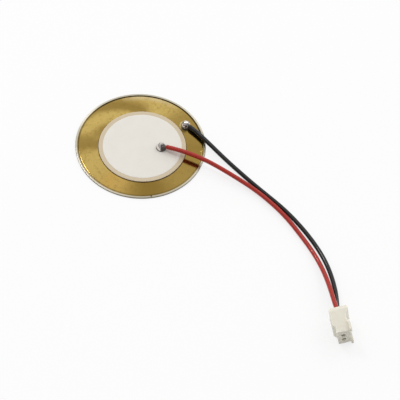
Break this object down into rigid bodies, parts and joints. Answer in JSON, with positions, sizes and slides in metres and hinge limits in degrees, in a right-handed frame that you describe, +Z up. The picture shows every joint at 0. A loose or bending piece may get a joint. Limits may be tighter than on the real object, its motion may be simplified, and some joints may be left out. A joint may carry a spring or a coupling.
{
  "type": "wired piezo disc",
  "caption": "Round brass piezo disc with a bonded ceramic, silver print, soldered black and red leads and a small white crimp connector.",
  "frame": {"origin": "centre of the diaphragm's underside, on the surface that the part lies on", "axes": "+Z up through the disc, bright face up; +X towards the side where the leads leave, -Y towards the connector"},
  "size_m": [0.0762, 0.0739, 0.0074],
  "materials": {
    "brass": "bright rolled brass",
    "adhesive": "cured epoxy",
    "silver_print": "fired silver print, matt",
    "piezo_ceramic": "fired, matt",
    "solder": "bright solder",
    "tinned_strands": "tinned copper",
    "black_insulation": "soft, glossy",
    "red_insulation": "soft, glossy",
    "white_nylon": "moulded, satin",
    "tin_plate": "tin plated"
  },
  "bodies": {
    "root": {"brass_plate": "brass", "adhesive_film": "adhesive", "rear_electrode": "silver_print", "ceramic_disc": "piezo_ceramic", "silver_electrode": "silver_print", "black_solder_joint": "solder", "red_solder_joint": "solder", "black_bared_end": "tinned_strands", "red_bared_end": "tinned_strands", "black_lead": "black_insulation", "red_lead": "red_insulation", "connector_housing": "white_nylon", "black_crimp_terminal": "tin_plate", "red_crimp_terminal": "tin_plate", "black_crimped_strands": "tinned_strands", "red_crimped_strands": "tinned_strands"}
  },
  "joints": []
}
